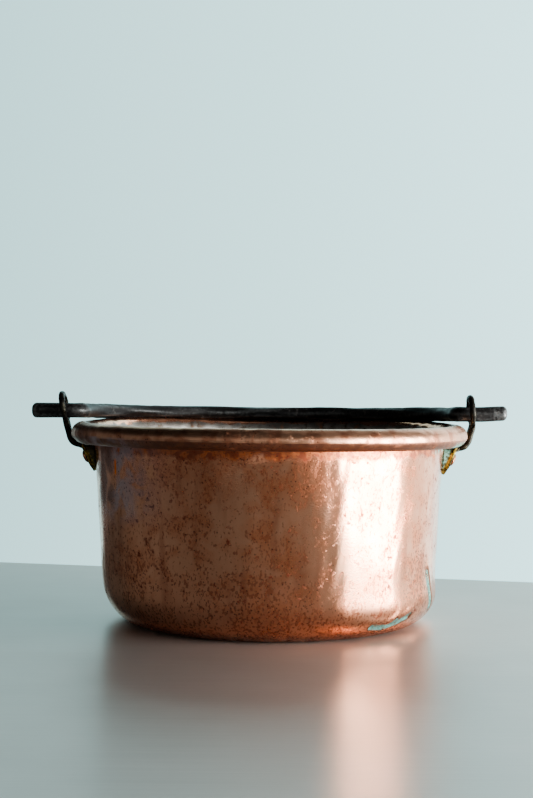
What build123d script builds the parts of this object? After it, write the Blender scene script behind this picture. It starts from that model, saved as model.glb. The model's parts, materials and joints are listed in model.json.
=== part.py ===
"""Copper preserving pan with a rolled, wired rim, two riveted bronze ears and a swinging iron bail.

Millimetres. The origin is the centre of the flat base, +Z is up, the ears are on the X axis and the
bail lies back towards +Y, its crown resting over the rear of the rim.
"""
from build123d import *
import os
from math import acos, asin, atan2, cos, degrees, hypot, radians, sin, tan

# ---- Pan: one raised sheet of copper with its top edge rolled over an iron hoop ----
rim_diameter = 360.0        # over the rolled rim
pan_height = 181.0          # table to the top of the rim
sheet = 1.5                 # thickness of the copper
bead_diameter = 19.5        # outside of the roll, seen in section
flare_radius = 11.5         # centre line of the turn from the wall on to the rim
roll_angle = 255.0          # how far the edge is rolled round, from the top of the rim
wall_taper = 3.3            # degrees that the wall leans out
corner_radius = 36.0        # outside of the turn from the base into the wall
hoop_clearance = 0.3        # all round the iron hoop inside the roll

# ---- Bail: round pins, a short bend inside each eye and a bow that flattens at its crown ----
pin_diameter = 13.5
pin_overhang = 31.5         # middle of each ring to the pin's end
pin_end_radius = 4.0        # worn round edge of each pin end
pin_rise = 2.75             # underside of the pins above the top of the rim
crown_width = 16.0          # in the plane of the bow
crown_thickness = 11.5      # square to the plane of the bow
bend_radius = 9.0           # centre line of the bend beside each eye
shoulder_radius = 150.0     # centre line of the bow's shoulders
rest_gap = 0.4              # crown to rim when the bail lies down

# ---- Ears: a ring for the pin, a shank bent round the rim and a leaf-shaped foot on the wall ----
eye_diameter = 20.0         # inside the ring
ring_rod = 4.8              # thickness of the ring
ring_offset = 6.0           # middle of the ring outside the rim
ring_leans = {"left": 10.0, "right": -5.0}    # degrees that each ring leans outwards
pin_clearance = 0.3         # under the pin, and from the rings to the bail's bends
bead_clearance = 0.4        # shank to the rolled rim
shank_thickness = 4.4
shank_width = 10.0
foot_length = 26.5          # underside of the rim to the tip of the foot
foot_width = 30.0
foot_tip_thickness = 3.0
foot_slope = 24.0           # degrees between the foot's outer face and upright
foot_top_gap = 2.0          # top of the foot to the underside of the rim
foot_lobe_radius = 6.0      # upper corners of the leaf

# ---- Rivets: two through each foot, with a domed head outside and a peened head inside ----
rivet_diameter = 6.0
rivet_spacing = 15.6
rivet_height = 14.0         # tip of the foot to the rivets
rivet_head_diameter = 11.4
rivet_head_height = 2.8
peened_diameter = 10.0
peened_height = 2.0
rivet_clearance = 0.05      # all round the rivet in its holes

# ---- Sizes that follow from those above ----
rim_radius = rim_diameter / 2
bead_radius = bead_diameter / 2
bead_centre = (rim_radius - bead_radius, pan_height - bead_radius)
flare_centre = (bead_centre[0], pan_height - sheet / 2 - flare_radius)
corner_middle_radius = corner_radius - sheet / 2
taper = radians(wall_taper)
wall_top = (flare_centre[0] - flare_radius * cos(taper), flare_centre[1] + flare_radius * sin(taper))
wall_foot_z = corner_radius - corner_middle_radius * sin(taper)
wall_foot_radius = wall_top[0] - (wall_top[1] - wall_foot_z) * tan(taper)
base_radius = wall_foot_radius - corner_middle_radius * cos(taper)

pin_radius = pin_diameter / 2
hinge_rise = pin_rise + pin_radius
hinge_z = pan_height + hinge_rise
ring_radius = (eye_diameter + ring_rod) / 2
ring_x = rim_radius + ring_offset
ring_base_z = hinge_z - pin_radius - pin_clearance - ring_rod / 2
inward_lean = max(0.0, -min(ring_leans.values()))
bend_start = ring_x - ring_rod / 2 - 2 * ring_radius * sin(radians(inward_lean)) - pin_clearance
bow_half_span = bend_start - bend_radius
crown_reach = bead_centre[0]
rest_drop = degrees(asin((hinge_rise - rest_gap - crown_thickness / 2) / crown_reach))

foot_tip_z = pan_height - bead_diameter - foot_length
foot_top_z = pan_height - bead_diameter - foot_top_gap
rivet_z = foot_tip_z + rivet_height


def wall_radius(z, offset):
    """Radius of the straight wall at height z, moved outwards from the sheet's middle by offset."""
    return wall_top[0] - (wall_top[1] - z) * tan(taper) + offset / cos(taper)


def foot_face_radius(z):
    """Distance of the foot's sloping outer face from the pan's axis at height z, on the X axis."""
    tip_radius = wall_radius(foot_tip_z, sheet / 2) + foot_tip_thickness
    return tip_radius + (z - foot_tip_z) * tan(radians(foot_slope))


def polar(centre, radius, angle):
    """Point at an angle in degrees on a circle about centre."""
    return (centre[0] + radius * cos(radians(angle)), centre[1] + radius * sin(radians(angle)))


def tangent_angle(centre, radius, point):
    """Angle in degrees at which a straight line from point, above and outside, touches the circle."""
    across = point[0] - centre[0]
    up = point[1] - centre[1]
    return degrees(atan2(up, across) - acos(radius / hypot(across, up)))


def wall_plug(offset):
    """Solid that fills the pan up to the straight wall, moved outwards from the sheet's middle by offset."""
    lower = wall_radius(0, offset)
    upper = wall_radius(pan_height, offset)
    return Cone(lower, upper, pan_height, align=(Align.CENTER, Align.CENTER, Align.MIN))


# ---- Pan shell and the hoop inside its rim ----

def sheet_line(offset):
    """The sheet's section from the middle of the base to the rolled edge, moved outwards by offset."""
    corner_centre = (base_radius, corner_radius)
    corner = corner_middle_radius + offset
    flare = flare_radius - offset
    roll = bead_radius - sheet / 2 - offset
    base_z = sheet / 2 - offset
    return [
        Line((0, base_z), (base_radius, base_z)),
        CenterArc(corner_centre, corner, -90, 90 - wall_taper),
        Line(polar(corner_centre, corner, -wall_taper), polar(flare_centre, flare, 180 - wall_taper)),
        CenterArc(flare_centre, flare, 180 - wall_taper, wall_taper - 90),
        CenterArc(bead_centre, roll, 90, -roll_angle),
    ]


def rivet_places():
    """Side, name and Y of each rivet, the front one on the -Y side."""
    for side in ("left", "right"):
        for place, y in (("front", -rivet_spacing / 2), ("rear", rivet_spacing / 2)):
            yield side, place, y


def rivet_hole(y):
    """Bar that cuts the rivet's hole through foot and wall on the +X side."""
    length = foot_width
    bar = Cylinder(rivet_diameter / 2 + rivet_clearance, length, rotation=(0, 90, 0))
    return Pos(wall_radius(rivet_z, 0), y, rivet_z) * bar


def on_side(side, shape):
    """A shape made on the +X side, moved to its own side by mirroring."""
    return shape if side == "right" else mirror(shape, Plane.YZ)


def make_shell():
    """Copper sheet: the section between its two faces, turned about the pan's axis, with rivet holes."""
    inside = sheet_line(-sheet / 2)
    outside = sheet_line(sheet / 2)
    axis_edge = Line(inside[0] @ 0, outside[0] @ 0)
    rolled_edge = Line(inside[-1] @ 1, outside[-1] @ 1)
    section = make_face([*inside, *outside, axis_edge, rolled_edge])
    shell = revolve(Plane.XZ * section, Axis.Z)
    for side, _, y in rivet_places():
        shell -= on_side(side, rivet_hole(y))
    return shell


def make_hoop():
    """Iron rod bent into a ring, lying inside the roll."""
    rod_radius = bead_radius - sheet - hoop_clearance
    return Pos(0, 0, bead_centre[1]) * Torus(bead_centre[0], rod_radius)


# ---- Ears ----

def ear_side_outline():
    """The ear without its ring, seen from the front: shank down past the rim, round it, and the foot."""
    ring_half = ring_rod / 2 - bead_clearance / 2
    inner_start = (ring_x - ring_half, ring_base_z)
    outer_start = (ring_x + ring_half, ring_base_z)
    inner = bead_radius + bead_clearance
    outer = inner + shank_thickness
    inner_angle = tangent_angle(bead_centre, inner, inner_start)
    outer_angle = tangent_angle(bead_centre, outer, outer_start)
    under_angle = -90.0 - degrees(asin(flare_radius / 2 / outer))
    shank = make_face([
        Line(inner_start, polar(bead_centre, inner, inner_angle)),
        CenterArc(bead_centre, inner, inner_angle, under_angle - inner_angle),
        Line(polar(bead_centre, inner, under_angle), polar(bead_centre, outer, under_angle)),
        CenterArc(bead_centre, outer, under_angle, outer_angle - under_angle),
        Line(polar(bead_centre, outer, outer_angle), outer_start),
        Line(outer_start, inner_start),
    ])
    inside_wall = wall_radius(foot_tip_z, -sheet)
    foot = make_face(Polyline(
        (inside_wall, foot_tip_z),
        (foot_face_radius(foot_tip_z), foot_tip_z),
        (foot_face_radius(foot_top_z), foot_top_z),
        (inside_wall, foot_top_z),
        close=True,
    ))
    return shank + foot


def ear_front_outline():
    """The ear without its ring, seen from its own side: a parallel shank over a pointed leaf."""
    half = foot_width / 2
    lobe = foot_lobe_radius
    shoulder_z = foot_top_z - lobe
    rise = shoulder_z - foot_tip_z
    side_radius = (half ** 2 + rise ** 2) / (2 * half)
    half_turn = degrees(asin(rise / side_radius))
    right_edge = [
        CenterArc((half - side_radius, shoulder_z), side_radius, -half_turn, half_turn),
        CenterArc((half - lobe, shoulder_z), lobe, 0, 90),
    ]
    left_edge = [mirror(edge, Plane.YZ) for edge in right_edge]
    top = Line((half - lobe, foot_top_z), (lobe - half, foot_top_z))
    leaf = make_face([*right_edge, *left_edge, top])
    shank_height = ring_base_z - rivet_z
    shank = Pos(0, rivet_z + shank_height / 2) * Rectangle(shank_width, shank_height)
    return leaf + shank


def make_ear(side):
    """Bronze casting: both outlines carried through each other, seated on the wall, with its ring."""
    side_body = extrude(Plane.XZ * ear_side_outline(), foot_width / 2, both=True)
    front_body = Pos(ring_x, 0, 0) * extrude(Plane.YZ * ear_front_outline(), foot_width, both=True)
    body = side_body & front_body
    body -= wall_plug(sheet / 2)
    ring = Pos(0, 0, ring_radius) * Torus(ring_radius, ring_rod / 2, rotation=(0, 90, 0))
    body += Pos(ring_x, 0, ring_base_z) * Rot(0, ring_leans[side], 0) * ring
    for y in (-rivet_spacing / 2, rivet_spacing / 2):
        body -= rivet_hole(y)
    return on_side(side, body)


# ---- Rivets ----

def domed_head(diameter, height, edge):
    """Round head standing on Z = 0: an upright edge under a part of a ball."""
    half = diameter / 2
    rise = height - edge
    ball_radius = (half ** 2 + rise ** 2) / (2 * rise)
    crown = CenterArc((0, height - ball_radius), ball_radius, 90, -degrees(asin(half / ball_radius)))
    section = make_face([crown, Polyline(crown @ 1, (half, 0), (0, 0), (0, height))])
    return revolve(Plane.XZ * section, Axis.Z)


def make_rivet(side, y):
    """Copper rivet: domed head on the foot's sloping face, round shank, peened head inside the pan."""
    slope = radians(foot_slope)
    seat_centre = (foot_face_radius(rivet_z), y, rivet_z)
    seat = Plane(origin=seat_centre, x_dir=(0, 1, 0), z_dir=(cos(slope), 0, -sin(slope)))
    inner_face = wall_radius(rivet_z, -sheet / 2)
    start = inner_face - peened_height / 2
    length = foot_width
    shank = Pos(start + length / 2, y, rivet_z) * Cylinder(rivet_diameter / 2, length, rotation=(0, 90, 0))
    shank = split(shank, bisect_by=seat, keep=Keep.BOTTOM)
    head = seat * domed_head(rivet_head_diameter, rivet_head_height, rivet_head_height / 3)
    peened_seat = Plane(origin=(inner_face + sheet / 2, y, rivet_z), x_dir=(0, 1, 0), z_dir=(-1, 0, 0))
    peened = peened_seat * domed_head(peened_diameter, peened_height + sheet / 2, sheet)
    peened &= wall_plug(-sheet / 2)
    return on_side(side, shank + head + peened)


# ---- Bail ----

def bow_arcs():
    """Radius of the crown's arc, and the angle in degrees at which it meets each shoulder's arc."""
    rise = crown_reach - bend_radius
    across = bow_half_span - shoulder_radius
    crown_radius = (across ** 2 + rise ** 2 - shoulder_radius ** 2) / (2 * (rise - shoulder_radius))
    meeting = degrees(atan2(bend_radius - crown_reach + crown_radius, across))
    return crown_radius, meeting


def make_bail():
    """Iron bail, made flat in the XY plane with its pins on the X axis, then laid back over the rim."""
    crown_radius, meeting = bow_arcs()
    shoulder = CenterArc((bow_half_span - shoulder_radius, bend_radius), shoulder_radius, 0, meeting)
    half_crown = CenterArc((0, crown_reach - crown_radius), crown_radius, meeting, 90 - meeting)
    bow_path = Wire([*shoulder.edges(), *half_crown.edges()])
    round_end = Plane(origin=bow_path @ 0, x_dir=(1, 0, 0), z_dir=bow_path % 0)
    flat_end = Plane(origin=bow_path @ 1, x_dir=(0, 1, 0), z_dir=bow_path % 1)
    sections = [
        round_end * Ellipse(pin_radius, pin_radius),
        flat_end * Ellipse(crown_width / 2, crown_thickness / 2),
    ]
    half_bow = sweep(sections, path=bow_path, multisection=True)
    bend_path = CenterArc((bend_start, bend_radius), bend_radius, 180, 90)
    bend = sweep(round_end * Circle(pin_radius), path=bend_path)
    pin_length = ring_x + pin_overhang - bend_start
    pin = Cylinder(pin_radius, pin_length, align=(Align.CENTER, Align.CENTER, Align.MIN))
    pin = fillet(pin.edges().sort_by(Axis.Z)[-1], pin_end_radius)
    pin = Pos(bend_start, 0, 0) * Rot(0, 90, 0) * pin
    half = half_bow + bend + pin
    bail = half + mirror(half, Plane.YZ)
    return Pos(0, 0, hinge_z) * Rot(-rest_drop, 0, 0) * bail


os.makedirs("parts", exist_ok=True)
pieces = {
    "pan_shell": make_shell(),
    "rim_hoop": make_hoop(),
    "ear_left": make_ear("left"),
    "ear_right": make_ear("right"),
    "bail": make_bail(),
}
for side, place, y in rivet_places():
    pieces[f"rivet_{side}_{place}"] = make_rivet(side, y)
for name, solid in pieces.items():
    export_step(solid, f"parts/{name}.step")
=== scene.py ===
"""Looks of the copper preserving pan: shell, ears, rivets and bail as fine surfaces, with their finishes.

Metres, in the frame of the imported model: Z up, the ears on the X axis, the front of the pan towards -Y
and the bail lying back towards +Y. Azimuth is measured round the pan from its front, positive towards +X.
"""
import json
import math

import bpy
import numpy as np
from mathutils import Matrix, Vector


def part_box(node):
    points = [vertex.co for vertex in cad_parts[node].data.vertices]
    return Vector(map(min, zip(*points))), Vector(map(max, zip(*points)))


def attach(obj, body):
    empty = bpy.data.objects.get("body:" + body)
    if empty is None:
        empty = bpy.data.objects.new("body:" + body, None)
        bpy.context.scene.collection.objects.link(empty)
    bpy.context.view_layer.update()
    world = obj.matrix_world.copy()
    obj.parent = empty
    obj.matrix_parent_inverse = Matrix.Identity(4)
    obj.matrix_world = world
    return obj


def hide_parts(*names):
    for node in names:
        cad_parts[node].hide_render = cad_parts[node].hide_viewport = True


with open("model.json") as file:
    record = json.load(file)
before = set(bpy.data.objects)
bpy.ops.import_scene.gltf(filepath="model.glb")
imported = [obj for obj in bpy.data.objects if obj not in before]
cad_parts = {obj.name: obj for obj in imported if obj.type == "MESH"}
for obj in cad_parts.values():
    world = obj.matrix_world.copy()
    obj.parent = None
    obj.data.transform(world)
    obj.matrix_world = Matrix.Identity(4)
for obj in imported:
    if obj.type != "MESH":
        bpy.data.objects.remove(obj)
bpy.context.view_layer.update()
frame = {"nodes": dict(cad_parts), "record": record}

MM = 0.001

# ---- Sizes of the pan's section that the frame doesn't give ----
SHEET = 1.5 * MM
BEAD_RADIUS = 9.75 * MM
FLARE_RADIUS = 11.5 * MM
CORNER_RADIUS = 36 * MM
WALL_TAPER = math.radians(3.3)
ROLL_ANGLE = math.radians(255)

# ---- Sizes of the ears, rivets and bail that the frame doesn't give ----
RING_RADIUS = 12.4 * MM
RING_ROD = 4.8 * MM
RING_OFFSET = 6 * MM
RING_LEANS = {"left": math.radians(10), "right": math.radians(-5)}
RING_BASE_DROP = 9.45 * MM
SHANK_RADIUS = 12.35 * MM
SHANK_THICKNESS = 4.4 * MM
SHANK_WIDTH = 10 * MM
REVERSE_BEND = 4 * MM
FOOT_DROP = 26.5 * MM
FOOT_TOP_GAP = 2 * MM
FOOT_WIDTH = 30 * MM
FOOT_LOBE = 6 * MM
FOOT_TIP = 3 * MM
FOOT_SLOPE = math.radians(24)
PLATE_THICKNESS = 3.2 * MM
PIN_OVERHANG = 31.5 * MM
BEND_RADIUS = 9 * MM
BEND_INSET = 4.86 * MM
PIN_END_RADIUS = 4 * MM
SHOULDER_RADIUS = 150 * MM
CROWN_HALF_WIDTH = 8 * MM
CROWN_HALF_THICKNESS = 5.75 * MM
REST_GAP = 0.4 * MM
RIVET_UP = 14 * MM
RIVET_SPACING = 15.6 * MM
RIVET_RADIUS = 3 * MM
HEAD_RADIUS = 5.7 * MM
HEAD_HEIGHT = 2.8 * MM
PEENED_RADIUS = 5 * MM
PEENED_HEIGHT = 2 * MM
RIVET_SEEDS = {"left": (18, 19), "right": (21, 22)}

# ---- Wear: how far the old pieces differ from new ones ----
RIM_SINK = 1.4 * MM
RIM_LIFT = 2.3 * MM
RING_FULLER = 0.40 * MM
SHANK_FULLER = 1.3 * MM
BAIL_FULLER = 0.32 * MM
BAIL_END_LIFT = 1.3 * MM
CASTING_VOXEL = 0.46 * MM

# ---- Stains, painted shade and painted reflections on the copper: heights in metres, azimuths in radians ----
STAIN_AND_SHADE_HEIGHTS = (0.1525, 0.1575)
ROLL_FOOT, ROLL_EDGE = 0.1605, 0.1683
SKIN_HEIGHTS = (0.1682, 0.1690)
SHADE_AZIMUTHS, SHADE_HEIGHTS = (-1.30, -1.02), (0.105, 0.114)
GLINT_AZIMUTHS, GLINT_HEIGHTS = (-0.995, -0.975), (0.137, 0.150)
GREEN_AZIMUTHS = (1.12, 1.48)

# ---- Table, backdrop, light and camera ----
TABLE_CORNERS = [(-1.3, -1.7), (0.42, -1.7), (0.42, 0.26), (-1.3, 0.64)]
TABLE_THICKNESS = 30 * MM
BACKDROP_X = (-1.35, 4.0)
BACKDROP_Y = 2.6
BACKDROP_Z = (-1.6, 3.0)
BACKDROP_GLOW = [(0.0, (0.28, 0.43, 0.44)), (0.30, (0.29, 0.45, 0.46)), (0.5, (0.36, 0.55, 0.56)),
                  (0.70, (0.44, 0.68, 0.70)), (1.0, (0.90, 1.0, 1.0))]
BACKDROP_SPREAD = 3.6
BACKDROP_STRENGTH = 2.4
# Azimuth in degrees from the pan's front and the surround's level there.
SURROUND = [(-180, 0.50), (-158, 0.34), (-150, 0.13), (-90, 0.17), (-64, 0.22), (-41, 0.30), (-20, 0.42),
            (0, 0.52), (21, 0.50), (42, 0.50), (47, 1.4), (100, 1.8), (150, 2.2), (180, 1.5)]
SURROUND_STRENGTH = 2.0
WINDOW_SIZE = (1.84, 1.6)
WINDOW_POWER = 201.0
WINDOW_DISTANCE = 2.2
WINDOW_HEIGHT = -0.1
WINDOW_BEARING = math.radians(68.3)
CAMERA_PLACE = (-0.003, -1.350, 0.211)
CAMERA_TURN = (math.radians(90 - 0.35), math.radians(-0.6), 0.0)
CAMERA_LENS = 66.4
CAMERA_SENSOR = 36.0

# ---- Places that follow from the frame ----
shell_high = np.array(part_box("pan_shell")[1])
HINGE = np.array(frame["record"]["behaviour"]["joints"][0]["pos_m"])
RIM_RADIUS = shell_high[0]
RIM_TOP = shell_high[2]
BEAD_CENTRE = np.array([RIM_RADIUS, RIM_TOP]) - BEAD_RADIUS
FLARE_CENTRE = np.array([BEAD_CENTRE[0], RIM_TOP - SHEET / 2 - FLARE_RADIUS])
WALL_TOP = FLARE_CENTRE + FLARE_RADIUS * np.array([-math.cos(WALL_TAPER), math.sin(WALL_TAPER)])
CORNER_MIDDLE = CORNER_RADIUS - SHEET / 2
WALL_FOOT_Z = CORNER_RADIUS - CORNER_MIDDLE * math.sin(WALL_TAPER)
WALL_FOOT_RADIUS = WALL_TOP[0] - (WALL_TOP[1] - WALL_FOOT_Z) * math.tan(WALL_TAPER)
BASE_RADIUS = WALL_FOOT_RADIUS - CORNER_MIDDLE * math.cos(WALL_TAPER)
RING_X = RIM_RADIUS + RING_OFFSET
RING_BASE_Z = HINGE[2] - RING_BASE_DROP
FOOT_TIP_Z = RIM_TOP - 2 * BEAD_RADIUS - FOOT_DROP
FOOT_TOP_Z = RIM_TOP - 2 * BEAD_RADIUS - FOOT_TOP_GAP
RIVET_Z = FOOT_TIP_Z + RIVET_UP
PIN_RADIUS = 6.75 * MM
BEND_START = RING_X - BEND_INSET
BOW_HALF_SPAN = BEND_START - BEND_RADIUS
CROWN_REACH = BEAD_CENTRE[0]
REST_DROP = math.asin((HINGE[2] - RIM_TOP - REST_GAP - CROWN_HALF_THICKNESS) / CROWN_REACH)


# ---- Curves and meshes ----

def smooth_step(low, high, value):
    """0 below low, 1 above high, and 3t^2 - 2t^3 between them."""
    share = np.clip((value - low) / (high - low), 0.0, 1.0)
    return share * share * (3.0 - 2.0 * share)


def hump(value, middle, spread):
    """Bell of height 1 round middle: e to the minus square of the distance over spread."""
    return np.exp(-((value - middle) / spread) ** 2)


def arc_points(centre, radius, start, turn, count):
    """Points on a circle in a plane, from the angle start through turn, both in radians."""
    angles = start + turn * np.linspace(0.0, 1.0, count)
    return centre + radius * np.stack([np.cos(angles), np.sin(angles)], -1)


def line_points(start, end, count):
    """Evenly spaced points from start to end."""
    return np.asarray(start) + np.linspace(0.0, 1.0, count)[:, None] * (np.asarray(end) - np.asarray(start))


def ring_quads(rows, columns, closed=False):
    """Quads of a grid whose columns go right round; closed joins the last row to the first as well."""
    index = np.arange(rows * columns).reshape(rows, columns)
    if closed:
        index = np.concatenate([index, index[:1]])
    here, there = index[:-1], index[1:]
    return np.stack([here, np.roll(here, -1, 1), np.roll(there, -1, 1), there], -1).reshape(-1, 4)


def make_piece(name, points, quads, triangles=None):
    """Smooth mesh object at the origin. Its faces are turned over if they enclose a negative volume,
    which is a sixth of the sum of a . (b x c) over its triangles."""
    triangles = np.zeros((0, 3), int) if triangles is None else triangles
    corners = np.concatenate([quads[:, :3], quads[:, [0, 2, 3]], triangles])
    a, b, c = (points[corners[:, i]] for i in range(3))
    if np.einsum("ij,ij->", a, np.cross(b, c)) < 0:
        quads, triangles = quads[:, ::-1], triangles[:, ::-1]
    mesh = bpy.data.meshes.new(name)
    mesh.from_pydata(points.tolist(), [], quads.tolist() + triangles.tolist())
    mesh.shade_smooth()
    piece = bpy.data.objects.new(name, mesh)
    bpy.context.scene.collection.objects.link(piece)
    return piece


def capped_grid(rows, start_pole, end_pole):
    """Points, quads and triangles of rows that each go once round, with a pole closing each end."""
    count, around = rows.shape[:2]
    points = np.concatenate([rows.reshape(-1, 3), [start_pole], [end_pole]])
    first = np.arange(around)
    last = first + (count - 1) * around
    start_fan = np.stack([np.roll(first, -1), first, np.full(around, count * around)], -1)
    end_fan = np.stack([last, np.roll(last, -1), np.full(around, count * around + 1)], -1)
    return points, ring_quads(count, around), np.concatenate([start_fan, end_fan])


def set_values(piece, **values):
    """Stores arrays of one number a point as attributes that the finishes read."""
    for name, array in values.items():
        attribute = piece.data.attributes.new(name, "FLOAT", "POINT")
        attribute.data.foreach_set("value", np.asarray(array, np.float32))


def place_piece(piece, body, slot, finish, *nodes):
    """Gives a finished piece its material and its body and hides the CAD nodes that it stands for; slot is
    not used.
    """
    piece.data.materials.clear()
    piece.data.materials.append(finish)
    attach(piece, body)
    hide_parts(*nodes)


# ---- Finishes ----

class Value:
    """One output of a shader node. Operators with numbers or other outputs add Math nodes."""

    def __init__(self, tree, socket):
        self.tree = tree
        self.socket = socket

    def math(self, operation, *others):
        node = self.tree.nodes.new("ShaderNodeMath")
        node.operation = operation
        for target, given in zip(node.inputs, (self, *others)):
            plug_in(self.tree, target, given)
        return Value(self.tree, node.outputs[0])

    def __add__(self, other):
        return self.math("ADD", other)

    def __sub__(self, other):
        return self.math("SUBTRACT", other)

    def __rsub__(self, other):
        return self.math("MULTIPLY_ADD", -1.0, other)

    def __mul__(self, other):
        return self.math("MULTIPLY", other)

    def __truediv__(self, other):
        return self.math("DIVIDE", other)

    __radd__ = __add__
    __rmul__ = __mul__


def plug_in(tree, target, given):
    """Links a socket to an output, or sets its own value."""
    if isinstance(given, Value):
        tree.links.new(target, given.socket)
    else:
        target.default_value = given


class Finish:
    """A material or world under construction, with its few kinds of node."""

    def __init__(self, name, holder=None):
        self.material = holder or bpy.data.materials.new(name)
        self.material.use_nodes = True
        self.tree = self.material.node_tree
        self.tree.nodes.clear()
        self.spot = None

    def node(self, kind, settings=None, inputs=None, output=0):
        """Adds a node: its settings first, a ramp's stops among them, then each socket's value or link."""
        node = self.tree.nodes.new("ShaderNode" + kind)
        for key, value in (settings or {}).items():
            if key != "stops":
                setattr(node, key, value)
                continue
            stops = node.color_ramp.elements
            stops.remove(stops[-1])
            stops[0].position, stops[0].color = value[0][0], (*value[0][1], 1.0)
            for position, colour in value[1:]:
                stops.new(position).color = (*colour, 1.0)
        for key, value in (inputs or {}).items():
            plug_in(self.tree, node.inputs[key], value)
        return Value(self.tree, node.outputs[output]) if node.outputs else None

    def place(self):
        """Object coordinates in metres."""
        if self.spot is None:
            self.spot = self.node("TexCoord", output="Object")
        return self.spot

    def axes(self):
        """The three object coordinates as separate values."""
        split = self.node("SeparateXYZ", inputs={0: self.place()})
        return [Value(self.tree, socket) for socket in split.socket.node.outputs]

    def noise(self, size, detail=2.0, stretch=(1.0, 1.0, 1.0), shift=0.0, warp=0.0):
        """Noise from 0 to 1 whose lumps are about size metres, drawn out along an axis by stretch."""
        scale = tuple(1.0 / (size * part) for part in stretch)
        where = self.node("Mapping", inputs={"Vector": self.place(), "Location": (shift, shift, shift),
                                             "Scale": scale})
        return self.node("TexNoise", inputs={"Vector": where, "Scale": 1.0, "Detail": detail,
                                             "Distortion": warp})

    def cells(self, size, shift=0.0):
        """Distance to the nearest of scattered points that lie about size metres apart."""
        where = self.node("Mapping", inputs={"Vector": self.place(), "Location": (shift, shift, shift),
                                             "Scale": (1.0 / size,) * 3})
        return self.node("TexVoronoi", inputs={"Vector": where, "Scale": 1.0}, output="Distance")

    def held(self, name):
        """A value stored at the mesh's points."""
        return self.node("Attribute", {"attribute_name": name}, output="Fac")

    def step(self, value, low, high):
        """0 below low, 1 above high, smooth between; low may be the greater."""
        if low > high:
            return 1.0 - self.step(value, high, low)
        inputs = {"Value": value, "From Min": low, "From Max": high}
        return self.node("MapRange", {"interpolation_type": "SMOOTHSTEP"}, inputs)

    def mix(self, share, first, second, blend="MIX"):
        """Colour that goes from first to second as share goes from 0 to 1."""
        first, second = ((*c, 1.0) if isinstance(c, tuple) else c for c in (first, second))
        return self.node("Mix", {"data_type": "RGBA", "blend_type": blend},
                         {0: share, 6: first, 7: second}, output=2)

    def blend(self, share, first, second):
        """Number that goes from first to second as share goes from 0 to 1."""
        return self.node("Mix", {"data_type": "FLOAT"}, {0: share, 2: first, 3: second})

    def bump(self, height, depth, normal=None):
        """Normal of a relief whose height of 1 stands depth metres high."""
        inputs = {"Height": height, "Distance": depth, "Strength": 1.0}
        if normal is not None:
            inputs["Normal"] = normal
        return self.node("Bump", inputs=inputs)

    def surface(self, colour, metallic, roughness, normal=None, **constants):
        """Principled surface: the varying inputs, and constants set on the shader itself."""
        inputs = {"Base Color": (*colour, 1.0) if isinstance(colour, tuple) else colour,
                  "Metallic": metallic, "Roughness": roughness, **constants}
        if normal is not None:
            inputs["Normal"] = normal
        shader = self.node("BsdfPrincipled", inputs=inputs)
        self.node("OutputMaterial", inputs={"Surface": shader})
        return self.material


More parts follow.
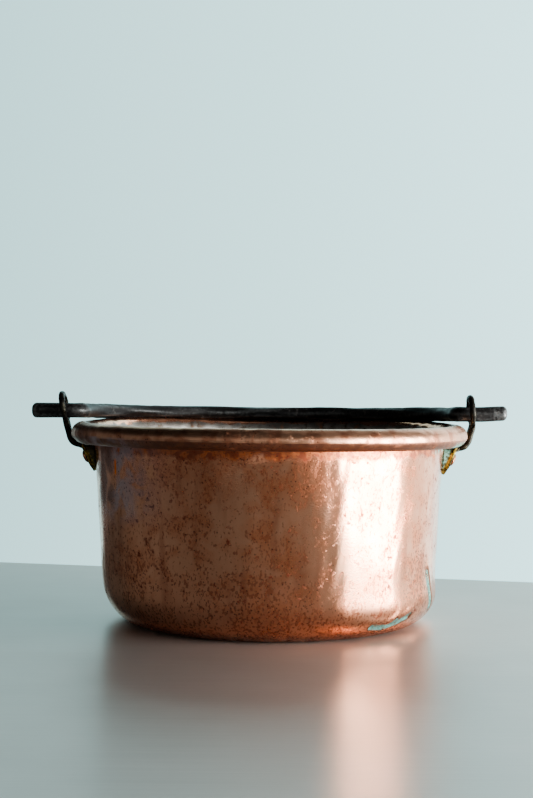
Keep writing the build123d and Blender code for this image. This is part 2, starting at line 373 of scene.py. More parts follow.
def copper_finish():
    """Old polished copper with tarnish, stains, pits and verdigris outside, painted shade under and on the
    roll and in the fold creases, painted reflections (a grey patch, a dark stripe and an orange glint), and
    worn grey tin inside.
    """
    made = Finish("pan_copper")
    x, y, z = made.axes()
    azimuth = x.math("ARCTAN2", y * -1.0)
    broad = made.noise(45 * MM, 4.0)
    clouds = made.noise(16 * MM, 5.0, shift=3.1, warp=0.6)
    runs = made.noise(11 * MM, 4.0, stretch=(1.0, 1.0, 7.0), shift=7.7)
    fine = made.noise(1.6 * MM, 3.0, shift=1.3)
    spot_noise = made.noise(5.5 * MM, 4.0, shift=5.2)

    outside = 1.0 - made.step(made.held("lining"), 0.01, 0.02)
    fleck_noise = made.noise(2.1 * MM, 3.0, stretch=(1.0, 1.0, 1.6), shift=9.4)
    tarnish = made.step(broad * 0.5 + clouds * 0.5, 0.38, 0.62)
    colour = made.mix(tarnish, (0.82, 0.45, 0.30), (0.71, 0.31, 0.18))
    colour = made.mix(made.step(runs, 0.50, 0.70) * 0.5, colour, (0.50, 0.21, 0.13))
    crowd = made.step(broad * 0.4 + clouds * 0.6 + made.step(z, 0.110, 0.020) * 0.10, 0.44, 0.62)
    flecks = made.step(fleck_noise - (1.0 - crowd) * 0.09, 0.50, 0.58)
    spots = made.step(spot_noise, 0.60, 0.68) * made.step(clouds, 0.38, 0.56)
    colour = made.mix(made.step(z, 0.060, 0.012) * outside * 0.5, colour, (0.84, 0.42, 0.27))
    colour = made.mix(flecks * 0.62, colour, (0.30, 0.095, 0.05))
    colour = made.mix(spots * 0.80, colour, (0.22, 0.060, 0.035))
    rough = 0.11 + tarnish * 0.05 + made.step(runs, 0.5, 0.75) * 0.05 + spots * 0.26 + flecks * 0.12

    # Stain and painted shade: the wall under the roll and the roll's outside are darkened red-brown above a
    # ragged edge, where the roll's shadow falls.
    ragged = (clouds - 0.5) * 14 * MM + (runs - 0.5) * 12 * MM
    under_rim_stain_and_shade = made.step(z + ragged, *STAIN_AND_SHADE_HEIGHTS) * outside
    stain = made.mix(made.step(spot_noise, 0.42, 0.60), (0.26, 0.065, 0.035), (0.52, 0.17, 0.07))
    colour = made.mix(under_rim_stain_and_shade * 0.85, colour, stain)
    # Painted shade: the roll's lower face, from its foot up to a ragged edge, is painted dark greyish brown.
    roll_underside_shade = made.step(z, ROLL_FOOT, ROLL_FOOT + MM) * outside
    roll_underside_shade = roll_underside_shade * made.step(z + (fine - 0.5) * 3 * MM, ROLL_EDGE + MM, ROLL_EDGE)
    colour = made.mix(roll_underside_shade * 0.75, colour, (0.24, 0.125, 0.085))
    roll_skin = made.mix(made.step(clouds, 0.42, 0.62), (0.68, 0.40, 0.27), (0.46, 0.22, 0.14))
    colour = made.mix(made.step(z, *SKIN_HEIGHTS) * outside * 0.9, colour, roll_skin)
    rough = rough + under_rim_stain_and_shade * 0.20 + roll_underside_shade * 0.08

    # Painted reflection: a rough grey-lavender patch on the left of the wall.
    patch = made.held("patch") * made.step(clouds, 0.34, 0.60)
    colour = made.mix(patch * 0.8, colour, (0.56, 0.50, 0.55))
    rough = rough + patch * 0.26
    # Painted dark reflection: a dark brown stripe on the upper left of the wall.
    shade = hold_band(made, azimuth, *SHADE_AZIMUTHS, 0.05) * made.step(z, *SHADE_HEIGHTS) * outside
    colour = made.mix(shade * made.step(clouds, 0.30, 0.50) * 0.75, colour, (0.20, 0.085, 0.05))
    # Painted glint: a small bright orange mark on the upper left of the wall.
    orange_glint = hold_band(made, azimuth, *GLINT_AZIMUTHS, 0.012) * hold_band(made, z, *GLINT_HEIGHTS, 0.002)
    colour = made.mix(orange_glint * outside, colour, (1.0, 0.30, 0.05))
    rough = rough + orange_glint * outside * 0.25

    # Darker and rougher towards the bottom edge of the wall.
    fire = made.held("fire") * made.step(clouds * 0.6 + runs * 0.4, 0.32, 0.62)
    colour = made.mix(fire * 0.6, colour, (0.10, 0.045, 0.03))
    rough = rough + fire * 0.30

    grime = made.held("grime") * made.step(fine * 0.4 + clouds * 0.6, 0.28, 0.55)
    colour = made.mix(grime * 0.85, colour, (0.075, 0.050, 0.030))
    # Painted shade: the creases of the folds are painted dark brown.
    crease_shade = made.step(made.held("fold"), 0.05, 0.45)
    colour = made.mix(crease_shade * 0.8, colour, (0.17, 0.07, 0.04))
    green = made.step(made.held("fold"), 0.34, 0.60) * made.step(spot_noise * 0.5 + fine * 0.5, 0.37, 0.47)
    rim_green = hold_band(made, azimuth, *GREEN_AZIMUTHS)
    rim_green = rim_green * made.step(z, 0.154, 0.159) * made.step(z, 0.169, 0.165)
    green = green + rim_green * outside * made.step(spot_noise * 0.6 + fine * 0.4, 0.44, 0.54)
    green = green + made.held("grime") * made.step(spot_noise, 0.50, 0.62) * 0.8
    green = green.math("MINIMUM", 1.0)
    verdigris = made.mix(made.step(fine, 0.40, 0.60), (0.17, 0.42, 0.38), (0.06, 0.20, 0.17))
    colour = made.mix(green * 0.9, colour, verdigris)
    rough = rough + grime * 0.30 + green * 0.5
    metal = 1.0 - green * 0.9 - grime * 0.35

    edge = made.held("lining") + (clouds - 0.5) * 0.5 + (fine - 0.5) * 0.15
    tin = made.step(edge, 0.42, 0.56)
    dull = made.step(broad * 0.4 + clouds * 0.6, 0.34, 0.66)
    tin_colour = made.mix(dull, (0.42, 0.41, 0.38), (0.22, 0.20, 0.18))
    stains = made.step(runs * 0.5 + spot_noise * 0.5, 0.53, 0.66)
    tin_colour = made.mix(stains * 0.8, tin_colour, (0.11, 0.075, 0.05))
    worn = made.step(clouds * 0.6 + spot_noise * 0.4, 0.58, 0.68)
    tin_colour = made.mix(worn * 0.5, tin_colour, (0.52, 0.28, 0.17))
    colour = made.mix(tin, colour, tin_colour)
    rough = made.blend(tin, rough, 0.44 + stains * 0.2)

    pits = made.step(made.cells(3.4 * MM, 0.4), 0.24, 0.10)
    pits = pits * made.step(spot_noise * 0.5 + crowd * 0.2, 0.28, 0.36)
    colour = made.mix(pits * 0.8, colour, (0.085, 0.035, 0.025))
    scratches = made.noise(0.9 * MM, 2.0, stretch=(14.0, 14.0, 1.0), shift=2.2)
    relief = made.bump(fine, 0.035 * MM)
    relief = made.bump(scratches, 0.012 * MM, normal=relief)
    relief = made.bump(spots * 0.4 - pits * 0.3 + green * 1.5, 0.08 * MM, normal=relief)
    return made.surface(colour, metal, rough, relief)


def hold_band(made, value, low, high, fade=0.08):
    """1 between low and high, fading to 0 on both sides."""
    return made.step(value, low - fade, low + fade) * made.step(value, high + fade, high - fade)


def iron_finish():
    """Black forged iron, browned in patches and rubbed grey on its high places, with a painted grey
    highlight on its right-hand end.
    """
    made = Finish("forged_black_iron")
    broad = made.noise(22 * MM, 4.0)
    fine = made.noise(2.4 * MM, 4.0, shift=2.0)
    grain = made.noise(0.7 * MM, 3.0, shift=4.0)
    rubbed = made.step(made.node("NewGeometry", output="Pointiness") + (fine - 0.5) * 0.03, 0.505, 0.535)
    x = made.axes()[0]
    # Painted highlight: the right-hand end is painted rubbed grey and made metallic, so from here rubbed
    # holds both edge wear and this highlight.
    right_end_highlight = made.step(x, 0.203, 0.207)
    rubbed = rubbed.math("MAXIMUM", right_end_highlight * made.step(fine, 0.38, 0.55) * 0.8)
    worn = made.step(made.noise(4.5 * MM, 3.0, shift=6.0), 0.60, 0.70) * made.step(broad, 0.46, 0.56)
    colour = made.mix(made.step(broad, 0.40, 0.62), (0.0045, 0.0048, 0.005), (0.010, 0.009, 0.009))
    colour = made.mix(made.step(fine, 0.60, 0.72) * 0.4, colour, (0.022, 0.017, 0.014))
    colour = made.mix(worn * 0.45, colour, (0.16, 0.15, 0.14))
    colour = made.mix(rubbed * 0.7, colour, (0.17, 0.18, 0.18))
    metal = rubbed * 0.8
    rough = 0.50 + made.step(broad, 0.35, 0.65) * 0.08 + made.step(fine, 0.5, 0.7) * 0.10 - rubbed * 0.18
    relief = made.bump(grain, 0.05 * MM)
    relief = made.bump(fine, 0.12 * MM, normal=relief)
    return made.surface(colour, metal, rough, relief, **{"Specular IOR Level": 0.28})


def bronze_finish():
    """Cast bronze gone dark, with an olive yellow foot and verdigris where the right foot meets the wall."""
    made = Finish("ear_bronze")
    x, _, z = made.axes()
    depth = x.math("ABSOLUTE") - (z - FOOT_TIP_Z) * math.tan(FOOT_SLOPE) - foot_face(FOOT_TIP_Z)
    clouds = made.noise(7 * MM, 4.0)
    mottle = made.noise(2.6 * MM, 4.0, shift=5.0)
    fine = made.noise(1.3 * MM, 3.0, shift=2.0)
    rubbed = made.step(made.node("NewGeometry", output="Pointiness") + (fine - 0.5) * 0.05, 0.525, 0.575)
    colour = made.mix(made.step(clouds, 0.38, 0.62), (0.030, 0.028, 0.019), (0.012, 0.011, 0.009))
    colour = made.mix(rubbed * 0.4, colour, (0.26, 0.21, 0.09))
    foot = made.step(z, FOOT_TOP_Z + 4.0 * MM, FOOT_TOP_Z + 0.5 * MM)
    brass = foot * made.step(depth + (mottle - 0.5) * 3 * MM, -0.2 * MM, -1.4 * MM)
    yellow = made.mix(made.step(mottle, 0.44, 0.60), (0.46, 0.38, 0.10), (0.13, 0.115, 0.035))
    colour = made.mix(brass * 0.9, colour, yellow)
    behind = foot * made.step(depth + (clouds - 0.5) * 2.5 * MM, -4.2 * MM, -5.6 * MM)
    on_right = made.step(x, -0.01, 0.01)
    verdigris = made.mix(made.step(mottle, 0.40, 0.62), (0.16, 0.44, 0.40), (0.07, 0.10, 0.075))
    crust = made.mix(on_right, (0.035, 0.034, 0.020), verdigris)
    colour = made.mix(behind * made.step(fine * 0.4 + clouds * 0.6, 0.26, 0.46) * 0.85, colour, crust)
    metal = 0.75 - behind * 0.65
    rough = 0.42 + made.step(fine, 0.45, 0.7) * 0.14 + behind * 0.30 - rubbed * 0.10 - brass * 0.08
    relief = made.bump(fine, 0.12 * MM)
    relief = made.bump(clouds + mottle * 0.4, 0.22 * MM, normal=relief)
    return made.surface(colour, metal, rough, relief)


def rivet_finish():
    """Dull copper rivet with dark flecks, bruised on its head."""
    made = Finish("rivet_copper")
    clouds = made.noise(4 * MM, 4.0)
    fine = made.noise(0.9 * MM, 3.0, shift=2.0)
    colour = made.mix(made.step(clouds, 0.40, 0.62), (0.62, 0.29, 0.17), (0.30, 0.13, 0.08))
    colour = made.mix(made.step(fine, 0.58, 0.70) * 0.6, colour, (0.09, 0.06, 0.04))
    rough = 0.30 + made.step(clouds, 0.4, 0.7) * 0.18
    relief = made.bump(fine, 0.08 * MM)
    relief = made.bump(clouds, 0.16 * MM, normal=relief)
    return made.surface(colour, 1.0, rough, relief)


def hoop_finish():
    """Plain iron rod with a skin of scale and rust."""
    made = Finish("hoop_iron")
    clouds = made.noise(9 * MM, 4.0)
    fine = made.noise(1.5 * MM, 3.0, shift=2.0)
    colour = made.mix(made.step(clouds, 0.40, 0.60), (0.09, 0.085, 0.08), (0.17, 0.075, 0.035))
    rough = 0.50 + made.step(fine, 0.4, 0.7) * 0.25
    return made.surface(colour, 0.6, rough, made.bump(fine, 0.10 * MM))


# ---- Pan shell ----

def wall_radius(z, offset=0.0):
    """Radius of the straight wall at height z, moved outwards from the sheet's middle by offset."""
    return WALL_TOP[0] - (WALL_TOP[1] - z) * math.tan(WALL_TAPER) + offset / math.cos(WALL_TAPER)


def foot_face(z):
    """Distance of an ear's sloping face from the pan's axis at height z."""
    return wall_radius(FOOT_TIP_Z, SHEET / 2) + FOOT_TIP + (z - FOOT_TIP_Z) * math.tan(FOOT_SLOPE)


def rolled_rim(count):
    """The outside of the roll from its edge to the top: a circle with a low ridge where the hammer met
    the anvil (a bell round one angle) and a flatter strip under it (a wider, shallower dip)."""
    angle = math.pi / 2 - ROLL_ANGLE + ROLL_ANGLE * np.linspace(0.0, 1.0, count)
    ridge = 0.24 * MM * hump(angle, math.radians(-12), math.radians(12))
    flat = 0.36 * MM * hump(angle, math.radians(-48), math.radians(26))
    radius = BEAD_RADIUS + ridge - flat
    return BEAD_CENTRE + radius[:, None] * np.stack([np.cos(angle), np.sin(angle)], -1)


def shell_section():
    """The sheet's section as one line from the base's outside up the wall, round inside the roll, round
    the roll's outside and down the wall's inside, with the share of tin lining at each point."""
    corner = np.array([BASE_RADIUS, CORNER_RADIUS])
    down = -math.pi / 2
    quarter = math.pi / 2 - WALL_TAPER
    half = SHEET / 2
    roll = BEAD_RADIUS - half
    outer_wall = [wall_radius(WALL_FOOT_Z, half), wall_radius(WALL_TOP[1], half)]
    inner_wall = [wall_radius(WALL_FOOT_Z, -half), wall_radius(WALL_TOP[1], -half)]
    parts = [
        line_points((14 * MM, 0.0), (BASE_RADIUS, 0.0), 7),
        arc_points(corner, CORNER_RADIUS, down, quarter, 32)[1:],
        line_points((outer_wall[0], WALL_FOOT_Z), (outer_wall[1], WALL_TOP[1]), 54)[1:],
        arc_points(FLARE_CENTRE, FLARE_RADIUS - half, math.pi - WALL_TAPER, -quarter, 4)[1:],
        arc_points(BEAD_CENTRE, roll - half, math.pi / 2, -ROLL_ANGLE, 12)[1:],
        arc_points(BEAD_CENTRE, roll, math.pi / 2 - ROLL_ANGLE, -0.07, 1),
        rolled_rim(34),
        arc_points(FLARE_CENTRE, FLARE_RADIUS + half, math.pi / 2, quarter, 12)[1:],
        line_points((inner_wall[1], WALL_TOP[1]), (inner_wall[0], WALL_FOOT_Z), 16)[1:],
        arc_points(corner, CORNER_RADIUS - SHEET, -WALL_TAPER, -quarter, 12)[1:],
        line_points((BASE_RADIUS, SHEET), (14 * MM, SHEET), 6)[1:],
    ]
    outside_count = sum(len(part) for part in parts[:7])
    line = np.concatenate(parts)
    along = np.concatenate([[0.0], np.cumsum(np.linalg.norm(np.diff(line, axis=0), axis=1))])
    lining = np.clip((along - along[outside_count - 1]) / (22 * MM), 0.0, 1.0)
    return line, lining


def path_distance(azimuth, z, radius, path):
    """Distance of wall points from a line of (azimuth, height) corners, measured over the wall, and the
    signed distance above it: the nearest point of each straight run is found by projection."""
    spot = np.stack([azimuth * radius, z], -1)
    best = np.full(azimuth.shape, np.inf)
    above = np.zeros(azimuth.shape)
    corners = [np.array([math.radians(a) * radius, height * MM]) for a, height in path]
    for start, end in zip(corners, corners[1:]):
        run = end - start
        share = np.clip((spot - start) @ run / (run @ run), 0.0, 1.0)
        gap = spot - start - share[..., None] * run
        distance = np.linalg.norm(gap, axis=-1)
        nearer = distance < best
        best = np.where(nearer, distance, best)
        above = np.where(nearer, (run[0] * gap[..., 1] - run[1] * gap[..., 0]) / np.linalg.norm(run), above)
    return best, above


FOLDS = [([(37, 12.5), (43, 11), (49, 14.5), (54, 19)], 1.6 * MM),
         ([(45, 12), (47, 16)], 0.9 * MM),
         ([(65, 53), (67.5, 36), (70, 20)], 1.2 * MM)]


def make_pan():
    """The copper sheet: its section turned about the axis, then pushed about by waves. Every push is a
    sum of sines of azimuth and height or a bell round a place, and moves both faces of the sheet alike.
    The rim is sprung: bells of azimuth sink its front and lift it on both sides of the bail's crown."""
    line, lining = shell_section()
    columns = 540
    azimuth = np.arange(columns) * 2 * math.pi / columns - math.pi
    radius = np.repeat(line[:, :1], columns, 1)
    z = np.repeat(line[:, 1:], columns, 1)
    turn = np.repeat(azimuth[None], len(line), 0)
    lining = np.repeat(lining[:, None], columns, 1)

    ear_gap = np.minimum(np.abs(turn - math.pi / 2), np.abs(turn + math.pi / 2))
    by_ear = np.exp(-(ear_gap / 0.16) ** 2) * smooth_step(0.120, 0.135, z)
    on_wall = smooth_step(0.006, 0.030, z) * (1 - smooth_step(0.150, 0.166, z)) * (1 - by_ear)
    on_rim = smooth_step(0.158, 0.168, z) * (1 - np.exp(-(ear_gap / 0.12) ** 2))
    dice = np.random.default_rng(7)
    push = np.zeros_like(radius)
    for waves_low, waves_high, tall, depth, count in ((6, 14, 0.20, 0.17, 8), (16, 40, 0.12, 0.040, 18),
                                                      (40, 90, 0.07, 0.010, 16)):
        for _ in range(count):
            waves = dice.integers(waves_low, waves_high)
            rise = dice.normal(0, 2 * math.pi / tall)
            push += depth * MM * dice.normal() * np.sin(waves * turn + rise * z
                                                        + dice.uniform(0, 2 * math.pi))
    radius = radius + push * on_wall

    round_share = smooth_step(0.0, 0.12, z) * (1 - np.exp(-(ear_gap / 0.5) ** 2))
    radius = radius + 0.45 * MM * np.cos(2 * turn + 0.6) * round_share
    low_band = np.exp(-((z - 0.016) / 0.022) ** 2) * smooth_step(0.06, 0.118, radius)
    radius = radius + 3.2 * MM * low_band * hump(turn, math.radians(72), 0.75)
    radius = radius - 2.8 * MM * low_band * hump(turn, math.radians(-82), 0.70)

    fold = np.zeros_like(radius)
    for path, depth in FOLDS:
        distance, above = path_distance(turn, z, 0.145, path)
        radius = radius - depth * np.exp(-(distance / (1.9 * MM)) ** 2) * (radius > 0.08)
        ridge = np.exp(-((above - 5.5 * MM) / (3.2 * MM)) ** 2) * np.exp(-(distance / (9 * MM)) ** 2)
        radius = radius + 0.8 * depth * ridge * (radius > 0.08)
        fold = np.maximum(fold, np.exp(-(distance / (3.0 * MM)) ** 2))
    outer = lining <= 0.0
    fold = fold * outer

    rim_wave = sum(dice.normal() * np.sin(k * turn + dice.uniform(0, 2 * math.pi)) / k for k in range(2, 9))
    rim_ripple = sum(dice.normal() * np.sin(k * turn + dice.uniform(0, 2 * math.pi))
                     for k in range(24, 70, 4))
    z = z + (0.35 * MM * rim_wave + 0.035 * MM * rim_ripple) * on_rim
    by_top = smooth_step(0.166, 0.181, z) * (1 - np.exp(-(ear_gap / 0.2) ** 2))
    lift = hump(turn, math.radians(-138), math.radians(30))
    lift = lift + 0.8 * hump(turn, math.radians(136), math.radians(28))
    sink = hump(turn, math.radians(-12), math.radians(62))
    z = z + (RIM_LIFT * lift - RIM_SINK * sink) * by_top
    side_ripple = sum(dice.normal() * np.sin(k * turn + 300 * z + dice.uniform(0, 2 * math.pi))
                      for k in range(30, 90, 5))
    radius = radius + 0.035 * MM * side_ripple * on_rim

    rows = np.stack([radius * np.sin(turn), -radius * np.cos(turn), z], -1)
    points, quads, triangles = capped_grid(rows, (0.0, 0.0, 0.0), (0.0, 0.0, SHEET))
    piece = make_piece("pan_copper", points, quads, triangles)
    ear_y = np.abs(rows[..., 1])
    foot_low = np.abs(z - 0.5 * (FOOT_TIP_Z + FOOT_TOP_Z)) / (0.5 * (FOOT_TOP_Z - FOOT_TIP_Z))
    foot_gap = np.hypot(ear_y / (FOOT_WIDTH / 2), foot_low * 0.9) + (ear_gap > 0.5) * 9
    grime = np.exp(-((np.maximum(foot_gap, 1.0) - 1.0) / 0.16) ** 2) * outer
    # Where the painted grey reflection lies on the left of the wall.
    patch = hump(turn, math.radians(-56), 0.26) * smooth_step(0.088, 0.112, z) * (z < 0.170) * outer
    # Share of the darker band at the bottom edge of the wall.
    fire = smooth_step(0.012, 0.001, z) * outer
    spare = np.zeros(2)
    set_values(piece, lining=np.append(lining.ravel(), [0.0, 1.0]), fold=np.append(fold.ravel(), spare),
               grime=np.append(grime.ravel(), spare), patch=np.append(patch.ravel(), spare),
               fire=np.append(fire.ravel(), [1.0, 0.0]))
    return piece


# ---- Ears ----

def flat_oval(half_width, half_height, count, power):
    """Rounded rectangle: (|cos t|^(2/p), |sin t|^(2/p)) with their signs, times the half sizes."""
    angle = np.arange(count) * 2 * math.pi / count
    across, up = np.cos(angle), np.sin(angle)
    bent = [np.sign(v) * np.abs(v) ** (2 / power) for v in (across, up)]
    return bent[0] * np.asarray(half_width)[..., None], bent[1] * np.asarray(half_height)[..., None]


def leaf_half_width(z):
    """Half width of the foot at height z: two arcs that meet in the point, and a rounded upper corner."""
    half = FOOT_WIDTH / 2
    shoulder = FOOT_TOP_Z - FOOT_LOBE
    rise = shoulder - FOOT_TIP_Z
    side = (half ** 2 + rise ** 2) / (2 * half)
    leaf = half - side + np.sqrt(np.maximum(side ** 2 - (shoulder - z) ** 2, 0.0))
    lobe = half - FOOT_LOBE + np.sqrt(np.maximum(FOOT_LOBE ** 2 - (z - shoulder) ** 2, 0.0))
    return np.maximum(np.where(z > shoulder, lobe, leaf), 0.3 * MM)


def shank_line():
    """Middle line of shank and foot plate in the X-Z plane: straight from the ring, round the rim at a
    constant distance, a short bend back, and straight down the foot's slope. The end of the turn round
    the rim is the angle whose bend back ends nearest to the slope."""
    start = np.array([RING_X, RING_BASE_Z + 0.8 * MM])
    across, up = start - BEAD_CENTRE
    begin = math.atan2(up, across) - math.acos(SHANK_RADIUS / math.hypot(across, up))
    slope_end = -FOOT_SLOPE
    stops = np.radians(np.linspace(-60, -90, 301))
    ends = BEAD_CENTRE + SHANK_RADIUS * np.stack([np.cos(stops), np.sin(stops)], -1)
    bend_centres = ends + REVERSE_BEND * np.stack([np.cos(stops), np.sin(stops)], -1)
    leave = math.pi + slope_end
    bend_ends = bend_centres + REVERSE_BEND * np.array([math.cos(leave), math.sin(leave)])
    plate = foot_face(bend_ends[:, 1]) - PLATE_THICKNESS / 2 / math.cos(FOOT_SLOPE)
    best = np.argmin(np.abs(bend_ends[:, 0] - plate))
    stop = stops[best]
    turn = arc_points(BEAD_CENTRE, SHANK_RADIUS, begin, stop - begin, 60)
    back = arc_points(bend_centres[best], REVERSE_BEND, stop + math.pi, slope_end - stop, 14)
    tip_x = foot_face(FOOT_TIP_Z) - 0.8 * MM
    drop = line_points(back[-1], (tip_x, FOOT_TIP_Z + 0.3 * MM), 44)
    return np.concatenate([line_points(start, turn[0], 6)[:-1], turn, back[1:], drop[1:]])


def make_ear(side):
    """An ear of three closed surfaces grown into one: a ring, a strip carried along the shank's line and
    a wedge behind the leaf. The join is smoothed, then the points are pushed along their normals, which
    makes the ring and the shank's outside fuller and gives the casting a slight unevenness."""
    line = shank_line()
    along = np.concatenate([[0.0], np.cumsum(np.linalg.norm(np.diff(line, axis=0), axis=1))])
    heading = np.gradient(line, along, axis=0)
    heading /= np.linalg.norm(heading, axis=1)[:, None]
    outward = np.stack([-heading[:, 1], heading[:, 0]], -1)
    on_foot = (line[:, 1] < FOOT_TOP_Z + 0.2 * MM) & (along > along[-1] * 0.5)
    half_width = np.where(on_foot, np.maximum(leaf_half_width(line[:, 1]), 0.4 * MM), SHANK_WIDTH / 2)
    half_width = np.maximum(half_width, np.where(on_foot & (line[:, 1] > FOOT_TOP_Z - 2 * MM),
                                                 SHANK_WIDTH / 2, 0.0))
    foot_share = smooth_step(FOOT_TOP_Z + 3 * MM, FOOT_TIP_Z + 16 * MM, line[:, 1])
    foot_share = foot_share * (along > along[-1] * 0.4)
    tip_share = smooth_step(FOOT_TIP_Z + 12 * MM, FOOT_TIP_Z, line[:, 1])
    thickness = SHANK_THICKNESS + (PLATE_THICKNESS - SHANK_THICKNESS) * foot_share - 1.2 * MM * tip_share
    across, deep = flat_oval(half_width, thickness / 2, 48, 7.0)
    rows = np.stack([line[:, :1] + outward[:, :1] * deep, across, line[:, 1:] + outward[:, 1:] * deep], -1)
    parts = [capped_grid(rows, (line[0][0], 0.0, line[0][1]), (line[-1][0], 0.0, line[-1][1] - 0.2 * MM))]

    height = np.linspace(FOOT_TIP_Z + 1.4 * MM, FOOT_TOP_Z - 0.6 * MM, 40)
    width = leaf_half_width(height) - 1.3 * MM
    inner = wall_radius(height, SHEET / 2) - 0.3 * MM
    outer = foot_face(height) - 1.6 * MM
    across, deep = flat_oval(np.maximum(width, 0.5 * MM), (outer - inner) / 2, 48, 9.0)
    sag = across ** 2 / (2 * inner[:, None]) * (deep < 0)
    rows = np.stack([(outer + inner)[:, None] / 2 + deep - sag, across,
                     np.repeat(height[:, None], 48, 1)], -1)
    parts.append(capped_grid(rows, rows[0].mean(0), rows[-1].mean(0)))

    u, v = np.meshgrid(np.arange(96) * 2 * math.pi / 96, np.arange(28) * 2 * math.pi / 28, indexing="ij")
    reach = RING_RADIUS + RING_ROD / 2 * np.cos(v)
    ring = np.stack([RING_ROD / 2 * np.sin(v), reach * np.sin(u), RING_RADIUS - reach * np.cos(u)], -1)
    lean = RING_LEANS[side]
    leaned = np.stack([ring[..., 0] * math.cos(lean) + ring[..., 2] * math.sin(lean), ring[..., 1],
                       ring[..., 2] * math.cos(lean) - ring[..., 0] * math.sin(lean)], -1)
    leaned += (RING_X, 0.0, RING_BASE_Z)
    parts.append((leaned.reshape(-1, 3), ring_quads(96, 28, closed=True), np.zeros((0, 3), int)))

    blanks = []
    for index, (points, quads, triangles) in enumerate(parts):
        mirror = (-1.0 if side == "left" else 1.0, 1.0, 1.0)
        blanks.append(make_piece(f"ear_blank_{index}", points * mirror, quads, triangles))
    piece = grow_together(f"cast_ear_{side}", blanks, CASTING_VOXEL, 6)
    dice = np.random.default_rng(11 if side == "left" else 12)
    points, normals = read_points(piece), read_normals(piece)
    from_rim = np.abs(points[:, 0]) - BEAD_CENTRE[0], points[:, 2] - BEAD_CENTRE[1]
    outwards = from_rim[0] * np.sign(points[:, 0]) * normals[:, 0] + from_rim[1] * normals[:, 2] > 0
    on_ring = smooth_step(RING_BASE_Z + 6 * MM, RING_BASE_Z + 9 * MM, points[:, 2])
    on_shank = smooth_step(RING_BASE_Z + 2 * MM, RING_BASE_Z - 3 * MM, points[:, 2]) * outwards
    on_shank = on_shank * smooth_step(FOOT_TOP_Z - 4 * MM, FOOT_TOP_Z + 1 * MM, points[:, 2])
    push = RING_FULLER * on_ring + SHANK_FULLER * on_shank
    for _ in range(14):
        wave = dice.normal(0, 2 * math.pi / (9 * MM), 3)
        push += 0.035 * MM * np.sin(points @ wave + dice.uniform(0, 2 * math.pi))
    write_points(piece, points + normals * push[:, None])
    return piece


def grow_together(name, blanks, voxel, rounds):
    """One surface round several closed ones, by voxel remesh, with its steps smoothed away."""
    vertices, faces, offset = [], [], 0
    for blank in blanks:
        vertices.append(read_points(blank))
        faces += [[corner + offset for corner in face.vertices] for face in blank.data.polygons]
        offset += len(blank.data.vertices)
        mesh = blank.data
        bpy.data.objects.remove(blank)
        bpy.data.meshes.remove(mesh)
    mesh = bpy.data.meshes.new(name)
    mesh.from_pydata(np.concatenate(vertices).tolist(), [], faces)
    piece = bpy.data.objects.new(name, mesh)
    bpy.context.scene.collection.objects.link(piece)
    remesh = piece.modifiers.new("grow", "REMESH")
    remesh.mode = "VOXEL"
    remesh.voxel_size = voxel
    smooth = piece.modifiers.new("smooth", "SMOOTH")
    smooth.factor = 0.5
    smooth.iterations = rounds
    grown = bpy.data.meshes.new_from_object(piece.evaluated_get(bpy.context.evaluated_depsgraph_get()))
    piece.modifiers.clear()
    piece.data = grown
    grown.name = name
    bpy.data.meshes.remove(mesh)
    grown.shade_smooth()
    return piece


def read_points(piece):
    """The mesh's points as an array."""
    values = np.empty(len(piece.data.vertices) * 3)
    piece.data.vertices.foreach_get("co", values)
    return values.reshape(-1, 3)


def read_normals(piece):
    """The mesh's point normals as an array."""
    values = np.empty(len(piece.data.vertices) * 3)
    piece.data.vertices.foreach_get("normal", values)
    return values.reshape(-1, 3)


def write_points(piece, points):
    """Puts an array of points back into the mesh."""
    piece.data.vertices.foreach_set("co", points.ravel())
    piece.data.update()


# ---- Rivets ----

def make_rivet(side, place, y, seed):
    """Circles carried from the peened end inside the pan along the shank to the domed head, whose
    circles lean with the foot. The head is bruised by low waves."""
    around = 40
    inner = wall_radius(RIVET_Z, -SHEET / 2)
    seat = foot_face(RIVET_Z)
    swell = np.linspace(0.12, 1.0, 8) * math.pi / 2
    peen_x = inner - 0.75 * MM - (PEENED_HEIGHT - 0.75 * MM) * np.cos(swell)
    peen_r = PEENED_RADIUS * np.sin(swell)
    dome = 0.7 * MM + (HEAD_HEIGHT - 0.7 * MM) * np.cos(swell[::-1])
    head_up = np.concatenate([[-0.5 * MM, 0.35 * MM], dome])
    head_r = np.concatenate([[HEAD_RADIUS, HEAD_RADIUS], HEAD_RADIUS * np.sin(swell[::-1])])
    axis = np.array([math.cos(FOOT_SLOPE), 0.0, -math.sin(FOOT_SLOPE)])
    straight = np.concatenate([peen_x, [inner + 0.3 * MM, inner + 0.5 * MM, seat - 3 * MM]])
    radii = np.concatenate([peen_r, [PEENED_RADIUS, RIVET_RADIUS, RIVET_RADIUS], head_r])
    shank = np.stack([straight, np.full_like(straight, y), np.full_like(straight, RIVET_Z)], -1)
    centres = np.concatenate([shank, np.array([seat, y, RIVET_Z]) + head_up[:, None] * axis])
    up = np.concatenate([np.repeat([[0.0, 0.0, 1.0]], len(straight), 0),
                         np.repeat([[math.sin(FOOT_SLOPE), 0.0, math.cos(FOOT_SLOPE)]], len(head_up), 0)])
    angle = np.arange(around) * 2 * math.pi / around
    dice = np.random.default_rng(seed)
    bruise = sum(0.012 * dice.normal() * np.sin(k * angle + dice.uniform(0, 2 * math.pi))
                 for k in range(2, 6))
    reach = radii[:, None] * (1 + bruise)
    rows = (centres[:, None] + reach[..., None] * (np.cos(angle)[:, None] * np.array([0.0, 1.0, 0.0])
                                                   + np.sin(angle)[:, None] * up[:, None]))
    tip = centres[-1] + 0.02 * MM * axis
    points, quads, triangles = capped_grid(rows, (inner - PEENED_HEIGHT, y, RIVET_Z), tip)
    mirror = (-1.0 if side == "left" else 1.0, 1.0, 1.0)
    return make_piece(f"copper_rivet_{side}_{place}", points * mirror, quads, triangles)


# ---- Bail ----

